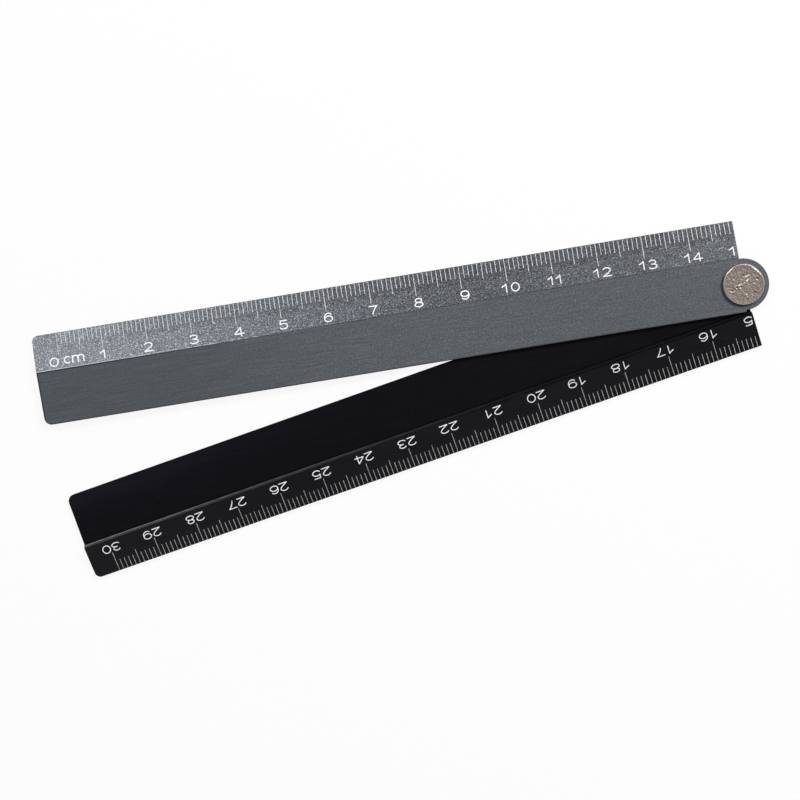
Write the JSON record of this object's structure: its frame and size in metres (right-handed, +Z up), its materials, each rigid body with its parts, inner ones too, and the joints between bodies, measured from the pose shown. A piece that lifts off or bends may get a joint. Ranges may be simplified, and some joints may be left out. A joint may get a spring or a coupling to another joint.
{
  "type": "folding metal ruler",
  "caption": "Folding metal ruler: two bevelled arms with engraved millimetre graduations turn on one rivet and open out into a single straight scale.",
  "frame": {"origin": "on the pivot axis, at the plane of the table that the ruler lies on", "axes": "+Z up, away from the table and along the pivot; -X along the grey arm from the pivot to its outer end; +Y towards the grey arm's scale edge"},
  "size_m": [0.1611, 0.0552, 0.0027],
  "materials": {
    "grey_anodised_aluminium": "anodised grey, fine lengthwise brushing on the band, blasted grain on the strip",
    "black_anodised_aluminium": "anodised black, smooth satin",
    "rivet_steel": "rough worn face, bright rim",
    "washer_film": "natural plastic film",
    "scale_ink": "white marking ink, matt"
  },
  "bodies": {
    "upper_arm": {"grey_arm": "grey_anodised_aluminium", "pivot_rivet": "rivet_steel"},
    "lower_arm": {"black_arm": "black_anodised_aluminium", "slip_washer": "washer_film"}
  },
  "joints": [
    {"name": "pivot", "type": "hinge", "parent": "upper_arm", "child": "lower_arm", "pos_m": [0, 0, 0], "axis": [0, 0, 1], "range_deg": [-10.33, 169.67]}
  ]
}
